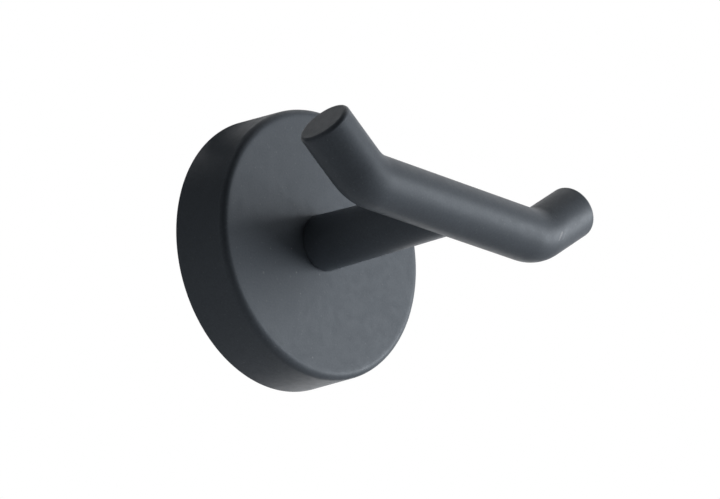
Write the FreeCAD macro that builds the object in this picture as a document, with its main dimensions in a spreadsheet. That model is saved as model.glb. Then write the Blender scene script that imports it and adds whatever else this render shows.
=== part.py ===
import FreeCAD, Part

import os

import Sketcher

# Double robe hook: a hollow round rosette, a tapered stem that stands on it, and a bent crossbar
# across the end of the stem, held from behind by one long screw. The rosette clips over a bevelled
# wall bracket and is locked there by a grub screw.
#
# Row frame: the wall is the plane y = 0 with the hook on its -Y side, +Z is up, and the origin is
# the centre of the rosette on the wall. Each piece is drawn with its own Z pointing out of the wall,
# so a height below is a distance from the wall, and is then turned into the row frame.

# Driving sizes in millimetres and degrees
SIZES = (
    ("rosette_diameter", 52.0, "front face, rounded edge included"),
    ("rosette_depth", 12.4, "wall to front face"),
    ("rosette_draft", 1.5, "slope of the side, wider at the wall, in degrees"),
    ("rosette_edge_radius", 1.5, "rounding of the front edge"),
    ("rosette_wall", 2.4, "thickness of the side"),
    ("rosette_face", 2.8, "thickness of the front"),
    ("rosette_inner_radius", 1.2, "rounding inside, between front and side"),
    ("seat_boss_diameter", 15.0, "boss behind the face round the stem's spigot"),
    ("seat_boss_height", 2.2, "boss standing in from the face"),
    ("seat_boss_fillet", 0.8, "rounding at the root of the boss"),
    ("stem_foot_diameter", 10.9, "stem where it stands on the rosette"),
    ("stem_top_setback", 0.4, "stem narrower than the crossbar at its axis, each side"),
    ("stem_foot_chamfer", 0.3, "broken edge at the foot"),
    ("spigot_shoulder", 0.95, "width of the shoulder round the spigot"),
    ("spigot_flat_depth", 0.7, "flat that stops the stem from turning"),
    ("spigot_clearance", 0.05, "spigot in its hole, each side"),
    ("spigot_setback", 0.3, "spigot short of the boss, so that the screw clamps"),
    ("bar_diameter", 10.2, "rod of the crossbar, with its coat"),
    ("bar_projection", 45.4, "wall to the axis of the crossbar"),
    ("bar_corner_spread", 44.9, "between the two points where the axis turns up"),
    ("bar_arm_length", 13.3, "from that point to the end of an arm"),
    ("bar_arm_rise", 36.0, "slope of the arms, in degrees"),
    ("bar_bend_radius", 8.5, "bend, at the axis of the rod"),
    ("bar_end_radius", 0.8, "rounding of the end faces"),
    ("screw_diameter", 5.0, "tie screw, over the thread"),
    ("screw_head_diameter", 8.5, "low cap head"),
    ("screw_head_height", 3.5, "low cap head"),
    ("screw_socket_width", 3.0, "hexagon socket, across flats"),
    ("screw_socket_depth", 2.3, "hexagon socket"),
    ("screw_chamfer", 0.6, "broken edges of head and tip"),
    ("screw_tip_cover", 4.0, "tip to the front of the crossbar"),
    ("screw_bore_clearance", 0.15, "screw in the stem and washer, each side"),
    ("thread_clearance", 0.05, "screw in its tapped hole, each side"),
    ("tapped_hole_runout", 0.8, "full depth of the hole past the screw's tip"),
    ("drill_point_angle", 118.0, "end of the tapped hole, in degrees"),
    ("washer_diameter", 10.0, "washer under the head"),
    ("washer_thickness", 1.0, "washer under the head"),
    ("bracket_side_gap", 3.0, "rim to the narrow end of the rosette's inside"),
    ("bracket_bevel", 2.4, "bevel of the rim at 45 degrees, in depth and in radius"),
    ("bracket_rim_land", 1.0, "straight edge in front of the bevel"),
    ("bracket_ring_wall", 2.0, "ring, at the foot of the bevel"),
    ("bracket_floor", 2.4, "floor that the wall screws hold"),
    ("bracket_floor_radius", 0.4, "rounding between floor and ring"),
    ("bracket_head_clearance", 0.5, "centre hole behind the tie screw's head, each side"),
    ("wall_screw_hole", 4.0, "hole for a wall screw"),
    ("wall_screw_head", 7.2, "mouth of the countersink"),
    ("wall_screw_margin", 0.6, "countersink to the ring"),
    ("countersink_angle", 90.0, "in degrees"),
    ("grub_diameter", 4.0, "grub screw, over the thread"),
    ("grub_height", 3.6, "axis of the grub screw from the wall"),
    ("grub_bite", 0.8, "axis of the grub screw from the foot of the bevel"),
    ("grub_recess", 0.23, "outer end below the rosette's side"),
    ("grub_socket_width", 2.0, "hexagon socket, across flats"),
    ("grub_socket_depth", 2.0, "hexagon socket"),
    ("grub_chamfer", 0.3, "broken edge of the outer end"),
    ("grub_direction", 300.0, "from +X towards +Z, in degrees: hidden at the lower right"),
    ("grub_boss_setback", 0.1, "threaded boss inside the rosette's side, to the wall"),
    ("lug_overlap", 1.8, "how far the catch lug reaches behind the rim"),
    ("lug_top_gap", 0.4, "lug below the edge of the rim, along the bevel"),
    ("lug_thickness", 1.8, "lug at its tip"),
    ("lug_arc", 50.0, "length of the lug round the rosette, in degrees"),
    ("hooking_clearance", 0.2, "play when the lug is slipped over the rim"),
)

doc = FreeCAD.newDocument("DoubleRobeHook")

# Places worked out from the sizes, as expressions on the sheet
CAVITY = "(Sizes.rosette_depth - Sizes.rosette_face)"
ROSETTE_RADIUS = "(Sizes.rosette_diameter / 2)"
MID_WALL = f"({ROSETTE_RADIUS} - Sizes.rosette_wall / 2)"
SEAT = f"({CAVITY} - Sizes.seat_boss_height)"
UNDER_HEAD = f"({SEAT} - Sizes.washer_thickness)"
HEAD_BACK = f"({UNDER_HEAD} - Sizes.screw_head_height)"
HEAD_RADIUS = "(Sizes.screw_head_diameter / 2)"
SCREW_RADIUS = "(Sizes.screw_diameter / 2)"
SCREW_BORE_RADIUS = f"({SCREW_RADIUS} + Sizes.screw_bore_clearance)"
BAR_RADIUS = "(Sizes.bar_diameter / 2)"
BAR_BACK = f"(Sizes.bar_projection - {BAR_RADIUS})"
SCREW_TIP = f"(Sizes.bar_projection + {BAR_RADIUS} - Sizes.screw_tip_cover)"
BEND_TANGENT = "(Sizes.bar_bend_radius * tan(Sizes.bar_arm_rise * 0.5 deg))"
STEM_FOOT = "(Sizes.stem_foot_diameter / 2)"
STEM_TOP = f"({BAR_RADIUS} - Sizes.stem_top_setback)"
SPIGOT_RADIUS = f"({STEM_FOOT} - Sizes.spigot_shoulder)"
SPIGOT_FLAT = f"({SPIGOT_RADIUS} - Sizes.spigot_flat_depth)"
BEVEL_FOOT = "(Sizes.grub_height - Sizes.grub_bite)"
BEVEL_TOP = f"({BEVEL_FOOT} + Sizes.bracket_bevel)"
BRACKET_TOP = f"({BEVEL_TOP} + Sizes.bracket_rim_land)"
RIM_RADIUS = f"({ROSETTE_RADIUS} - Sizes.rosette_wall - Sizes.bracket_side_gap)"
NECK_RADIUS = f"({RIM_RADIUS} - Sizes.bracket_bevel)"
RING_RADIUS = f"({NECK_RADIUS} - Sizes.bracket_ring_wall)"
WALL_SCREW_RADIUS = f"({RING_RADIUS} - Sizes.wall_screw_head / 2 - Sizes.wall_screw_margin)"
GRUB_RADIUS = "(Sizes.grub_diameter / 2)"
GRUB_TIP = f"({NECK_RADIUS} + Sizes.grub_bite)"
GRUB_BOSS_END = f"({RIM_RADIUS} + Sizes.lug_overlap + Sizes.hooking_clearance)"
GRUB_BOSS_RADIUS = "(Sizes.grub_height - Sizes.grub_boss_setback)"


def rosette_side(height):
    """Outer radius of the rosette at a height, as an expression."""
    return f"({ROSETTE_RADIUS} + (Sizes.rosette_depth - {height}) * tan(Sizes.rosette_draft * 1 deg))"


GRUB_LENGTH = f"({rosette_side('Sizes.grub_height')} - Sizes.grub_recess - {GRUB_TIP})"

OUT_OF_WALL = FreeCAD.Rotation(FreeCAD.Vector(1, 0, 0), 90)


def make_sheet():
    """Puts the driving sizes on the sheet, each with its name and what it measures."""
    sheet = doc.addObject("Spreadsheet::Sheet", "Sizes")
    for row, (alias, value, meaning) in enumerate(SIZES, start=1):
        sheet.set(f"A{row}", alias)
        sheet.set(f"B{row}", str(value))
        sheet.setAlias(f"B{row}", alias)
        sheet.set(f"C{row}", meaning)
    doc.recompute()
    return sheet


def value_of(expression):
    """Number that an expression on the sheet gives."""
    result = sizes.evalExpression(expression)
    return float(getattr(result, "Value", result))


def new_body(name):
    """Body of one piece, turned from out of the wall into the row frame."""
    body = doc.addObject("PartDesign::Body", name)
    body.Label = name
    body.Placement = FreeCAD.Placement(FreeCAD.Vector(0, 0, 0), OUT_OF_WALL)
    return body


def new_sketch(body, name, plane, lift=None, turn=None):
    """Sketch on an origin plane of its body, lifted along its normal or turned about the Z axis."""
    sketch = body.newObject("Sketcher::SketchObject", name)
    support = next(f for f in body.Origin.OriginFeatures if f.Role == plane)
    sketch.AttachmentSupport = [(support, "")]
    sketch.MapMode = "FlatFace"
    if turn:
        about_height = FreeCAD.Rotation(FreeCAD.Vector(0, 1, 0), value_of(turn))
        sketch.AttachmentOffset = FreeCAD.Placement(FreeCAD.Vector(0, 0, 0), about_height)
        sketch.setExpression("AttachmentOffset.Rotation.Angle", f"({turn}) * 1 deg")
    if lift and turn:
        # The lift follows the turned normal, so it has a part along each of the plane's directions
        sketch.setExpression("AttachmentOffset.Base.x", f"({lift}) * sin(({turn}) * 1 deg)")
        sketch.setExpression("AttachmentOffset.Base.z", f"({lift}) * cos(({turn}) * 1 deg)")
    elif lift:
        sketch.setExpression("AttachmentOffset.Base.z", lift)
    return sketch


def pin(sketch, geometry, end, across, up):
    """Ties a point of the sketch to the sheet: its distances across and up from the origin."""
    for kind, axis, expression in (("DistanceX", -2, across), ("DistanceY", -1, up)):
        if expression == "0":
            sketch.addConstraint(Sketcher.Constraint("PointOnObject", geometry, end, axis))
        else:
            distance = Sketcher.Constraint(kind, -1, 1, geometry, end, value_of(expression))
            index = sketch.addConstraint(distance)
            sketch.setExpression(f"Constraints[{index}]", expression)


def add_outline(sketch, corners):
    """Closed outline with straight sides, each corner a pair of expressions."""
    points = [FreeCAD.Vector(value_of(across), value_of(up), 0) for across, up in corners]
    first = sketch.GeometryCount
    for start, end in zip(points, points[1:] + points[:1]):
        sketch.addGeometry(Part.LineSegment(start, end), False)
    for index, (across, up) in enumerate(corners):
        following = first + (index + 1) % len(corners)
        sketch.addConstraint(Sketcher.Constraint("Coincident", first + index, 2, following, 1))
        pin(sketch, first + index, 1, across, up)


def add_circle(sketch, across, up, radius):
    """Circle with its centre and radius tied to the sheet."""
    centre = FreeCAD.Vector(value_of(across), value_of(up), 0)
    normal = FreeCAD.Vector(0, 0, 1)
    geometry = sketch.addGeometry(Part.Circle(centre, normal, value_of(radius)), False)
    pin(sketch, geometry, 3, across, up)
    index = sketch.addConstraint(Sketcher.Constraint("Radius", geometry, value_of(radius)))
    sketch.setExpression(f"Constraints[{index}]", radius)


def add_hexagon(sketch, width):
    """Hexagon about the origin, by its width across flats."""
    corners = []
    for corner in range(6):
        angle = 60 * corner + 15
        reach = f"({width}) / sqrt(3)"
        corners.append((f"{reach} * cos({angle} deg)", f"{reach} * sin({angle} deg)"))
    add_outline(sketch, corners)


def add_feature(body, kind, name, sketch, **settings):
    """Feature on a sketch. A setting that is text is an expression or one of the feature's words."""
    feature = body.newObject(f"PartDesign::{kind}", name)
    feature.Profile = sketch
    sketch.Visibility = False
    for key, setting in settings.items():
        if isinstance(setting, str) and key in ("Length", "Angle", "Diameter", "Depth", "DrillPointAngle"):
            feature.setExpression(key, setting)
        else:
            setattr(feature, key, setting)
    doc.recompute()
    return feature


def revolve(body, name, sketch, **settings):
    """Solid of revolution about the upright axis of the sketch."""
    return add_feature(body, "Revolution", name, sketch, ReferenceAxis=(sketch, ["V_Axis"]), **settings)


def cut(body, name, sketch, **settings):
    """Pocket that has to take material away."""
    before = body.Shape.Volume
    feature = add_feature(body, "Pocket", name, sketch, **settings)
    if not feature.Shape.Volume < before - 1e-6:
        raise RuntimeError(f"{name} removes nothing")
    return feature


def round_edges(body, name, radius, wanted):
    """Fillet on the edges of the body's last feature that a test picks out."""
    base = body.Tip
    names = [f"Edge{k}" for k, edge in enumerate(base.Shape.Edges, start=1) if wanted(edge)]
    fillet = body.newObject("PartDesign::Fillet", name)
    fillet.Base = (base, names)
    fillet.setExpression("Radius", radius)
    doc.recompute()
    return fillet


def is_ring(edge, radius, height):
    """True for a circle about the Z axis with this radius at this height."""
    curve = edge.Curve
    if not isinstance(curve, Part.Circle) or abs(curve.Axis.z) < 0.999:
        return False
    centred = abs(curve.Center.x) < 1e-4 and abs(curve.Center.y) < 1e-4
    return centred and abs(curve.Radius - radius) < 1e-4 and abs(curve.Center.z - height) < 1e-4


def make_rosette():
    """Cast cup with a drafted side, the stem's seat, the catch lug and the grub screw's boss."""
    body = new_body("rosette")

    section = new_sketch(body, "rosette_section", "XZ_Plane")
    inner_front = f"({rosette_side(CAVITY)} - Sizes.rosette_wall)"
    add_outline(section, (
        (f"({rosette_side('0')} - Sizes.rosette_wall)", "0"),
        (rosette_side("0"), "0"),
        (ROSETTE_RADIUS, "Sizes.rosette_depth"),
        ("0", "Sizes.rosette_depth"),
        ("0", CAVITY),
        (inner_front, CAVITY),
    ))
    revolve(body, "rosette_cup", section, Angle=360)

    front, depth = value_of(ROSETTE_RADIUS), value_of("Sizes.rosette_depth")
    round_edges(body, "rosette_front_edge", "Sizes.rosette_edge_radius",
                lambda edge: is_ring(edge, front, depth))
    inner, cavity = value_of(inner_front), value_of(CAVITY)
    round_edges(body, "rosette_inner_edge", "Sizes.rosette_inner_radius",
                lambda edge: is_ring(edge, inner, cavity))

    boss = new_sketch(body, "seat_boss_circle", "XY_Plane", lift=SEAT)
    add_circle(boss, "0", "0", "Sizes.seat_boss_diameter / 2")
    add_feature(body, "Pad", "seat_boss", boss, Length="Sizes.seat_boss_height + Sizes.rosette_face / 2")
    boss_radius = value_of("Sizes.seat_boss_diameter / 2")
    round_edges(body, "seat_boss_root", "Sizes.seat_boss_fillet",
                lambda edge: is_ring(edge, boss_radius, cavity))

    make_catch_lug(body)
    make_grub_boss(body)

    keyed = new_sketch(body, "spigot_hole_outline", "XY_Plane")
    add_spigot_outline(keyed, "Sizes.spigot_clearance")
    cut(body, "spigot_hole", keyed, Type="ThroughAll", Reversed=True)
    return body


def make_catch_lug(body):
    """Lug opposite the grub screw, whose slope lies behind the bevel of the bracket."""
    profile = new_sketch(body, "catch_lug_section", "XZ_Plane", turn="Sizes.grub_direction - 180")
    tip_height = f"({BEVEL_TOP} - Sizes.lug_overlap)"
    top_height = f"({BEVEL_TOP} - Sizes.lug_top_gap)"
    tip_radius = f"({RIM_RADIUS} - Sizes.lug_overlap)"
    base_height = f"({tip_height} - Sizes.lug_thickness)"
    add_outline(profile, (
        (tip_radius, base_height),
        (MID_WALL, base_height),
        (MID_WALL, top_height),
        (f"({RIM_RADIUS} - Sizes.lug_top_gap)", top_height),
        (tip_radius, tip_height),
    ))
    revolve(body, "catch_lug", profile, Angle="Sizes.lug_arc", Midplane=True)


def make_grub_boss(body):
    """Radial boss on the inside of the side, and the tapped hole through both."""
    boss = new_sketch(body, "grub_boss_circle", "YZ_Plane", lift=GRUB_BOSS_END, turn="Sizes.grub_direction")
    add_circle(boss, "0", "Sizes.grub_height", GRUB_BOSS_RADIUS)
    add_feature(body, "Pad", "grub_boss", boss, Length=f"{MID_WALL} - {GRUB_BOSS_END}")

    hole = new_sketch(body, "grub_hole_circle", "YZ_Plane", lift=GRUB_BOSS_END, turn="Sizes.grub_direction")
    add_circle(hole, "0", "Sizes.grub_height", f"{GRUB_RADIUS} + Sizes.thread_clearance")
    cut(body, "grub_hole", hole, Type="ThroughAll", Reversed=True)


def add_spigot_outline(sketch, clearance):
    """Circle with one flat on top, grown all round by a clearance."""
    radius = f"({SPIGOT_RADIUS} + {clearance})"
    flat = f"({SPIGOT_FLAT} + {clearance})"
    reach = f"sqrt({radius} ^ 2 - {flat} ^ 2)"
    half, level = value_of(reach), value_of(flat)
    right = FreeCAD.Vector(half, level, 0)
    left = FreeCAD.Vector(-half, level, 0)
    bottom = FreeCAD.Vector(0, -value_of(radius), 0)
    line = sketch.addGeometry(Part.LineSegment(right, left), False)
    arc = sketch.addGeometry(Part.Arc(left, bottom, right), False)
    for line_end, corner in ((1, right), (2, left)):
        arc_end = 1 if (sketch.getPoint(arc, 1) - corner).Length < 1e-6 else 2
        sketch.addConstraint(Sketcher.Constraint("Coincident", line, line_end, arc, arc_end))
    sketch.addConstraint(Sketcher.Constraint("Coincident", arc, 3, -1, 1))
    sketch.addConstraint(Sketcher.Constraint("Horizontal", line))
    size = sketch.addConstraint(Sketcher.Constraint("Radius", arc, value_of(radius)))
    sketch.setExpression(f"Constraints[{size}]", radius)
    height = sketch.addConstraint(Sketcher.Constraint("DistanceY", -1, 1, line, 1, level))
    sketch.setExpression(f"Constraints[{height}]", flat)


def make_stem():
    """Tapered post with a keyed spigot, a bore for the tie screw and a coped end for the crossbar."""
    body = new_body("stem")

    spigot_end = f"({SEAT} + Sizes.spigot_setback)"
    spigot = new_sketch(body, "spigot_outline", "XY_Plane", lift=spigot_end)
    add_spigot_outline(spigot, "0")
    add_feature(body, "Pad", "spigot", spigot, Length=f"Sizes.rosette_depth - {spigot_end}")

    section = new_sketch(body, "stem_section", "XZ_Plane")
    add_outline(section, (
        ("0", "Sizes.rosette_depth"),
        (f"({STEM_FOOT} - Sizes.stem_foot_chamfer)", "Sizes.rosette_depth"),
        (STEM_FOOT, "(Sizes.rosette_depth + Sizes.stem_foot_chamfer)"),
        (STEM_TOP, "Sizes.bar_projection"),
        ("0", "Sizes.bar_projection"),
    ))
    revolve(body, "stem_post", section, Angle=360)

    cope = new_sketch(body, "cope_circle", "YZ_Plane")
    add_circle(cope, "0", "Sizes.bar_projection", BAR_RADIUS)
    cut(body, "cope", cope, Type="ThroughAll", Midplane=True)

    bore = new_sketch(body, "bore_circle", "XY_Plane")
    add_circle(bore, "0", "0", SCREW_BORE_RADIUS)
    cut(body, "bore", bore, Type="ThroughAll", Reversed=True)
    return body


def add_half_path(sketch):
    """Axis of half the crossbar: straight out from the middle, round the bend and up the arm."""
    rise = "(Sizes.bar_arm_rise * 1 deg)"
    corner = "(Sizes.bar_corner_spread / 2)"
    bend_start = f"({corner} - {BEND_TANGENT})"
    bend_end = (f"({corner} + {BEND_TANGENT} * cos{rise})", f"({BEND_TANGENT} * sin{rise})")
    arm_end = (f"({corner} + Sizes.bar_arm_length * cos{rise})", f"(Sizes.bar_arm_length * sin{rise})")
    half_turn = "(Sizes.bar_arm_rise * 0.5 deg)"
    bend_middle = (f"({bend_start} + Sizes.bar_bend_radius * sin{half_turn})",
                   f"(Sizes.bar_bend_radius * (1 - cos{half_turn}))")

    def point(across, up):
        return FreeCAD.Vector(value_of(across), value_of(up), 0)

    middle = FreeCAD.Vector(0, 0, 0)
    low, high = point(bend_start, "0"), point(*bend_end)
    straight = sketch.addGeometry(Part.LineSegment(middle, low), False)
    bend = sketch.addGeometry(Part.Arc(low, point(*bend_middle), high), False)
    arm = sketch.addGeometry(Part.LineSegment(high, point(*arm_end)), False)
    near, far = 1, 2
    if (sketch.getPoint(bend, near) - low).Length > 1e-6:
        near, far = far, near
    sketch.addConstraint(Sketcher.Constraint("Coincident", straight, 1, -1, 1))
    sketch.addConstraint(Sketcher.Constraint("Horizontal", straight))
    sketch.addConstraint(Sketcher.Constraint("Tangent", straight, 2, bend, near))
    sketch.addConstraint(Sketcher.Constraint("Tangent", bend, far, arm, 1))
    radius = sketch.addConstraint(Sketcher.Constraint("Radius", bend, value_of("Sizes.bar_bend_radius")))
    sketch.setExpression(f"Constraints[{radius}]", "Sizes.bar_bend_radius")
    reach = Sketcher.Constraint("DistanceX", -1, 1, straight, 2, value_of(bend_start))
    length = sketch.addConstraint(reach)
    sketch.setExpression(f"Constraints[{length}]", bend_start)
    pin(sketch, arm, 2, *arm_end)


def make_crossbar():
    """Round rod with both ends bent up, and a blind tapped hole in the middle of its back."""
    body = new_body("crossbar")

    path = new_sketch(body, "crossbar_axis", "XY_Plane", lift="Sizes.bar_projection")
    add_half_path(path)
    profile = new_sketch(body, "crossbar_circle", "YZ_Plane")
    add_circle(profile, "0", "Sizes.bar_projection", BAR_RADIUS)
    doc.recompute()
    half = body.newObject("PartDesign::AdditivePipe", "crossbar_half")
    half.Profile = profile
    half.Spine = path
    doc.recompute()

    whole = body.newObject("PartDesign::Mirrored", "crossbar_whole")
    whole.Originals = [half]
    whole.MirrorPlane = (next(f for f in body.Origin.OriginFeatures if f.Role == "YZ_Plane"), [""])
    body.Tip = whole
    doc.recompute()

    rise = "(Sizes.bar_arm_rise * 1 deg)"
    reach = value_of(f"Sizes.bar_corner_spread / 2 + Sizes.bar_arm_length * cos{rise}")
    slope = value_of(f"sin{rise}")
    round_edges(body, "crossbar_ends", "Sizes.bar_end_radius",
                lambda edge: is_end_circle(edge, reach, slope))

    tapped_radius = f"({SCREW_RADIUS} + Sizes.thread_clearance)"
    mouth = new_sketch(body, "tapped_hole_circle", "XY_Plane", lift=BAR_BACK)
    add_circle(mouth, "0", "0", tapped_radius)
    before = body.Shape.Volume
    hole = add_feature(body, "Hole", "tapped_hole", mouth, Threaded=False, Reversed=True,
                       DepthType="Dimension", DrillPoint="Angled", Diameter=f"2 * {tapped_radius}",
                       Depth=f"{SCREW_TIP} + Sizes.tapped_hole_runout - {BAR_BACK}",
                       DrillPointAngle="Sizes.drill_point_angle * 1 deg")
    if not hole.Shape.Volume < before - 1e-6:
        raise RuntimeError("tapped_hole removes nothing")
    return body


def is_end_circle(edge, reach, slope):
    """True for the edge of an arm's end face: a circle square to the arm, at its reach from the middle."""
    curve = edge.Curve
    if not isinstance(curve, Part.Circle):
        return False
    return abs(abs(curve.Axis.y) - slope) < 1e-4 and abs(abs(curve.Center.x) - reach) < 1e-4


def make_tie_screw():
    """Cap head screw that draws the rosette, the stem and the crossbar together."""
    body = new_body("tie_screw")
    section = new_sketch(body, "tie_screw_section", "XZ_Plane")
    add_outline(section, (
        ("0", HEAD_BACK),
        (f"({HEAD_RADIUS} - Sizes.screw_chamfer)", HEAD_BACK),
        (HEAD_RADIUS, f"({HEAD_BACK} + Sizes.screw_chamfer)"),
        (HEAD_RADIUS, UNDER_HEAD),
        (SCREW_RADIUS, UNDER_HEAD),
        (SCREW_RADIUS, f"({SCREW_TIP} - Sizes.screw_chamfer)"),
        (f"({SCREW_RADIUS} - Sizes.screw_chamfer)", SCREW_TIP),
        ("0", SCREW_TIP),
    ))
    revolve(body, "tie_screw_blank", section, Angle=360)
    socket = new_sketch(body, "tie_screw_hexagon", "XY_Plane", lift=HEAD_BACK)
    add_hexagon(socket, "Sizes.screw_socket_width")
    cut(body, "tie_screw_socket", socket, Length="Sizes.screw_socket_depth", Reversed=True)
    return body


def make_tie_washer():
    """Flat washer between the tie screw's head and the boss behind the rosette's face."""
    blank = doc.addObject("Part::Cylinder", "washer_blank")
    blank.setExpression("Radius", "Sizes.washer_diameter / 2")
    blank.setExpression("Height", "Sizes.washer_thickness")
    opening = doc.addObject("Part::Cylinder", "washer_opening")
    opening.setExpression("Radius", SCREW_BORE_RADIUS)
    opening.setExpression("Height", "Sizes.washer_thickness")
    washer = doc.addObject("Part::Cut", "tie_washer")
    washer.Base = blank
    washer.Tool = opening
    washer.Label = "tie_washer"
    washer.Placement = FreeCAD.Placement(FreeCAD.Vector(0, 0, 0), OUT_OF_WALL)
    washer.setExpression("Placement.Base.y", f"-{UNDER_HEAD}")
    return washer


def make_wall_bracket():
    """Round bracket: a floor for two countersunk wall screws and a ring with a bevelled rim."""
    body = new_body("wall_bracket")
    section = new_sketch(body, "bracket_section", "XZ_Plane")
    centre_hole = f"({HEAD_RADIUS} + Sizes.bracket_head_clearance)"
    add_outline(section, (
        (centre_hole, "0"),
        (NECK_RADIUS, "0"),
        (NECK_RADIUS, BEVEL_FOOT),
        (RIM_RADIUS, BEVEL_TOP),
        (RIM_RADIUS, BRACKET_TOP),
        (RING_RADIUS, BRACKET_TOP),
        (RING_RADIUS, "Sizes.bracket_floor"),
        (centre_hole, "Sizes.bracket_floor"),
    ))
    revolve(body, "bracket_ring", section, Angle=360)
    ring, floor = value_of(RING_RADIUS), value_of("Sizes.bracket_floor")
    round_edges(body, "bracket_floor_edge", "Sizes.bracket_floor_radius",
                lambda edge: is_ring(edge, ring, floor))

    mouths = new_sketch(body, "wall_screw_circles", "XY_Plane", lift="Sizes.bracket_floor")
    for side in (WALL_SCREW_RADIUS, f"-{WALL_SCREW_RADIUS}"):
        add_circle(mouths, "0", side, "Sizes.wall_screw_hole / 2")
    before = body.Shape.Volume
    holes = add_feature(body, "Hole", "wall_screw_holes", mouths, Threaded=False,
                        DepthType="ThroughAll", Diameter="Sizes.wall_screw_hole")
    holes.HoleCutType = "Countersink"
    holes.HoleCutCustomValues = True
    holes.setExpression("HoleCutDiameter", "Sizes.wall_screw_head")
    holes.setExpression("HoleCutCountersinkAngle", "Sizes.countersink_angle * 1 deg")
    doc.recompute()
    if not holes.Shape.Volume < before - 1e-6:
        raise RuntimeError("wall_screw_holes removes nothing")
    return body


def make_grub_screw():
    """Socket set screw whose cone bears on the bevel and draws the rosette to the wall."""
    body = new_body("grub_screw")
    section = new_sketch(body, "grub_screw_section", "XZ_Plane")
    add_outline(section, (
        ("0", "0"),
        (GRUB_RADIUS, GRUB_RADIUS),
        (GRUB_RADIUS, f"({GRUB_LENGTH} - Sizes.grub_chamfer)"),
        (f"({GRUB_RADIUS} - Sizes.grub_chamfer)", GRUB_LENGTH),
        ("0", GRUB_LENGTH),
    ))
    revolve(body, "grub_screw_blank", section, Angle=360)
    socket = new_sketch(body, "grub_screw_hexagon", "XY_Plane", lift=GRUB_LENGTH)
    add_hexagon(socket, "Sizes.grub_socket_width")
    cut(body, "grub_screw_socket", socket, Length="Sizes.grub_socket_depth")

    # Its own Z axis points outwards through the rosette's side
    turn = FreeCAD.Rotation(FreeCAD.Vector(0, 1, 0), value_of("90 - Sizes.grub_direction"))
    body.Placement = FreeCAD.Placement(FreeCAD.Vector(0, 0, 0), turn)
    body.setExpression("Placement.Rotation.Angle", "(90 - Sizes.grub_direction) * 1 deg")
    body.setExpression("Placement.Base.x", f"{GRUB_TIP} * cos(Sizes.grub_direction * 1 deg)")
    body.setExpression("Placement.Base.y", "-Sizes.grub_height")
    body.setExpression("Placement.Base.z", f"{GRUB_TIP} * sin(Sizes.grub_direction * 1 deg)")
    return body


def check_and_write(pieces):
    """Stops on any failed object or shape, then writes each piece to a file of its own."""
    doc.recompute()
    for item in doc.Objects:
        if "Invalid" in item.State or "Error" in item.State:
            raise RuntimeError(f"{item.Label} failed: {item.State}")
    for piece in pieces:
        shape = piece.Shape
        if shape.isNull() or not shape.isValid() or len(shape.Solids) != 1:
            raise RuntimeError(f"{piece.Label} isn't one valid solid")
    os.makedirs("parts", exist_ok=True)
    for piece in pieces:
        piece.Shape.exportStep(f"parts/{piece.Label}.step")
        print(f"{piece.Label}: {piece.Shape.Volume:.1f} mm3")


sizes = make_sheet()
check_and_write((
    make_rosette(),
    make_stem(),
    make_crossbar(),
    make_tie_screw(),
    make_tie_washer(),
    make_wall_bracket(),
    make_grub_screw(),
))
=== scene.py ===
"""Double robe hook in matte black powder coat, set in a plain pale studio.

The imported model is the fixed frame. Its wall is the plane y = 0 with the hook on the -Y side, +Z
is up and +X is to the right. Sizes of the pieces are in millimetres, as on a drawing, and a height
is a distance out of the wall. The meshes themselves are in metres.
"""

from __future__ import annotations
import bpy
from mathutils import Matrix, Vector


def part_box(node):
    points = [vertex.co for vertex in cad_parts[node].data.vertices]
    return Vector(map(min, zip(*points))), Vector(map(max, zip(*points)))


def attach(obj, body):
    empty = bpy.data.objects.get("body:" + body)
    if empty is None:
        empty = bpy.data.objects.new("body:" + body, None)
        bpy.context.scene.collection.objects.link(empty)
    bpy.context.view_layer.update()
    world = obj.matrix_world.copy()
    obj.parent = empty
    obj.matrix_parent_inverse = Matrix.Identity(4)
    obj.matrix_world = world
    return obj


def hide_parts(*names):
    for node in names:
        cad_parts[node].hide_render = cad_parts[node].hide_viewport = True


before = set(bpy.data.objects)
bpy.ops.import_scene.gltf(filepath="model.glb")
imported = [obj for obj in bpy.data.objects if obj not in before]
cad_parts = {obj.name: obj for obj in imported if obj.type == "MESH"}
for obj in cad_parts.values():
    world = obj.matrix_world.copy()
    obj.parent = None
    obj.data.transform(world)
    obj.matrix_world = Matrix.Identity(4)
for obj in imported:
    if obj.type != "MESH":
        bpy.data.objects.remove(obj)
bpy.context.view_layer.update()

import logging
from collections.abc import Callable, Sequence
from dataclasses import dataclass
from enum import Enum
from math import atan2, ceil, cos, hypot, pi, radians, sin, sqrt, tan

import bmesh
import bpy
from mathutils import Matrix, Vector

log = logging.getLogger("robe_hook")

MM = 0.001
WELD = 0.000001
SAME_PLANE = 5 * WELD
SAME_WAY = 0.9999
ARC_STEP = radians(9)
SMOOTH_ANGLE = radians(32)

# Chords in the full turn of a wide, a small and a drilled or screwed round
ROUND_STEPS = 192
SMALL_STEPS = 96
DRILL_STEPS = 64

# How far a tool body reaches past what it cuts, and what keeps two faces out of one plane, in mm
PAST = 1.0
SLIVER = 0.01

Piece = bpy.types.Object
Colour = tuple[float, float, float, float]
Corner = tuple[float, float, float]
Span = tuple[float, float]
Socket = "bpy.types.NodeSocket | float | tuple[float, ...]"


class Cut(Enum):
    """What a tool body does to the piece that it meets."""

    TAKE_AWAY = "DIFFERENCE"
    JOIN = "UNION"


class Kind(Enum):
    """Which parts of a mesh are picked."""

    FACES = "FACE"
    EDGES = "EDGE"


# ---- workbench


def clear_selection() -> None:
    """Leaves edit mode and deselects every object."""
    if bpy.context.object and bpy.context.object.mode != "OBJECT":
        bpy.ops.object.mode_set(mode="OBJECT")
    bpy.ops.object.select_all(action="DESELECT")


def take_up(piece: Piece) -> None:
    """Makes one piece the only selected and active object.

    Args:
        piece: the piece.
    """
    clear_selection()
    piece.select_set(True)
    bpy.context.view_layer.objects.active = piece


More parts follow.
